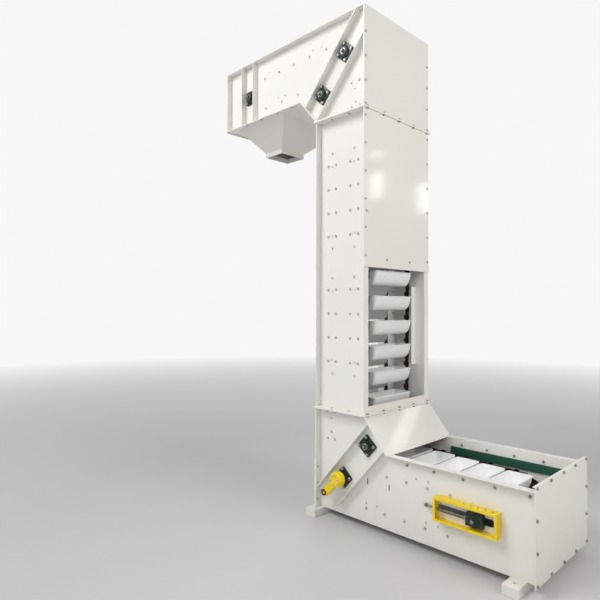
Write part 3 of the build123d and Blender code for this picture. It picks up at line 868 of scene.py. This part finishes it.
# Take-up bearings: a round boss between two cheeks on each carriage, and locknuts on its screw

carriage_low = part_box("takeup_carriages")[0]
carriage_face = 0.347
cheek_offset = 0.0275
screw_line = 0.330
locknut_marks = (carriage_low.x - 0.0105, guard_low.x - 0.0125)
takeup_boss_profile = (
    (0.0345, -0.020), (0.0345, 0.001), (0.033, 0.003), (0.0280, 0.004),
    (0.0265, 0.0095), (0.0200, 0.0095), (0.0190, 0.0075), (0, 0.0075),
)
cheek_layers = ((0.040, 0.004, 0.002, -0.002), (0.040, 0.004, 0.002, 0.0015), (0.0385, 0.003, 0.001, 0.0022))
locknut_profile = ((0.0095, 0), (0.0108, 0.0012), (0.0108, 0.0088), (0.0095, 0.010))
lengthwise = Matrix.Rotation(pi / 2, 4, "Y")
takeup = bmesh.new()
locknuts = bmesh.new()
for side in (-1, 1):
    face = Matrix.Translation((tail_x, side * carriage_face, tail_z)) @ Matrix.Rotation(-side * pi / 2, 4, "X")
    add_turned(takeup, takeup_boss_profile, sides=40, place=face)
    for cheek in (-1, 1):
        add_stack(takeup, cheek_layers, face @ Matrix.Translation((0, cheek * cheek_offset, 0)), steps=2)
    for x in locknut_marks:
        nut_place = Matrix.Translation((x, side * screw_line, tail_z)) @ lengthwise
        add_turned(locknuts, locknut_profile, sides=6, place=nut_place)
finished("takeup_bosses", takeup, bearing_paint, "bearing_paint")
finished("takeup_locknuts", locknuts, bolt_zinc, "shaft_steel")

# Studio: a floor that fades into the background, and a sky that is paler for the camera than for the lighting

floor_radius = 40
clear_floor = 2.0
fading_floor = 9.0
sky_level = 0.27

floor_shape = bmesh.new()
bmesh.ops.create_circle(floor_shape, cap_ends=True, radius=floor_radius, segments=96)
floor_mesh = bpy.data.meshes.new("studio floor")
floor_shape.to_mesh(floor_mesh)
floor_shape.free()
floor = bpy.data.objects.new("studio_floor", floor_mesh)
scene.collection.objects.link(floor)
floor_finish = Finish("studio floor", Roughness=0.7)
tone = floor_finish.noise(scale=0.8)
floor_finish.set(Base_Color=floor_finish.blend(tone, pale_floor, floor_shade))
length_of = {"operation": "LENGTH"}
from_centre = floor_finish.node("ShaderNodeVectorMath", length_of, {0: floor_finish.place}, output=1)
far = ((from_centre - clear_floor) / fading_floor).limited()
glow = floor_finish.node("ShaderNodeEmission", {}, {"Color": background, "Strength": 1.0})
ground = Signal(floor_finish, floor_finish.surface.outputs[0])
mixed = floor_finish.node("ShaderNodeMixShader", {}, {0: far, 1: ground, 2: glow})
floor_finish.feed(floor_finish.tree.nodes["Material Output"].inputs["Surface"], mixed)
floor_mesh.materials.append(floor_finish.material)

world = bpy.data.worlds.new("studio")
scene.world = world
world.use_nodes = True
sky = world.node_tree
light_path = sky.nodes.new("ShaderNodeLightPath")
shown = sky.nodes.new("ShaderNodeBackground")
shown.inputs["Color"].default_value = background
shown.inputs["Strength"].default_value = 1.0
lighting = sky.nodes["Background"]
lighting.inputs["Color"].default_value = daylight
lighting.inputs["Strength"].default_value = sky_level
choice = sky.nodes.new("ShaderNodeMixShader")
sky.links.new(light_path.outputs["Is Camera Ray"], choice.inputs[0])
sky.links.new(lighting.outputs[0], choice.inputs[1])
sky.links.new(shown.outputs[0], choice.inputs[2])
sky.links.new(choice.outputs[0], sky.nodes["World Output"].inputs["Surface"])


def softbox(name, place, target, size, watts, colour=(1, 1, 1), spread=180):
    """A lamp of (width, height), aimed at a point, with its spread in degrees."""
    lamp = bpy.data.lights.new(name, "AREA")
    lamp.shape = "RECTANGLE"
    lamp.spread = radians(spread)
    lamp.size, lamp.size_y = size
    lamp.energy = watts
    lamp.color = colour
    holder = bpy.data.objects.new(name, lamp)
    scene.collection.objects.link(holder)
    holder.location = place
    holder.rotation_euler = (Vector(target) - Vector(place)).to_track_quat("-Z", "Y").to_euler()


softbox("key", (-1.4, -4.4, 5.8), (0, 0, 2.6), size=(2.8, 2.8), watts=228, colour=(0.98, 0.99, 1.0))
softbox("front", (3.2, -5.4, 3.4), (0.8, 0, 0.5), size=(2.6, 2.6), watts=13, spread=66)
softbox("right", (4.6, 0.3, 3.2), (0.4, 0, 1.3), size=(2.4, 2.4), watts=80, colour=(1.0, 0.97, 0.90))
softbox("top", (0.8, 0.3, 9.0), (0.8, 0, 0), size=(3.5, 3.5), watts=80)
softbox("back", (-3.5, 4.4, 5.2), (0, 0, 1.8), size=(3.0, 3.0), watts=80)

# Small lamps behind on the right, whose reflections show in the glossy column cover and inclined cover
column_cover = (0.4, 0, 1.4)
inclined_cover = (0.47, 0, 0.6)
softbox("window_left", (3.45, 5.2, 3.3), column_cover, size=(0.26, 0.5), watts=2.0)
softbox("window_right", (4.30, 4.9, 3.62), column_cover, size=(0.16, 0.46), watts=1.8)
softbox("window_high", (4.30, 4.9, 4.22), column_cover, size=(0.16, 0.08), watts=0.4)
softbox("skylight_near", (2.2, 4.25, 3.3), inclined_cover, size=(0.9, 0.06), watts=1.1)
softbox("skylight_far", (2.2, 4.52, 3.3), inclined_cover, size=(0.9, 0.05), watts=0.8)

camera = bpy.data.cameras.new("camera")
camera.lens = lens_mm
camera.sensor_width = 36
camera.clip_end = 200
viewer = bpy.data.objects.new("camera", camera)
scene.collection.objects.link(viewer)
aim = Matrix.Rotation(camera_turn, 4, "Z") @ Matrix.Rotation(pi / 2 + camera_tilt, 4, "X")
viewer.matrix_world = Matrix.Translation(camera_place) @ aim @ Matrix.Rotation(camera_roll, 4, "Z")
scene.camera = viewer
scene.view_settings.view_transform = "Standard"
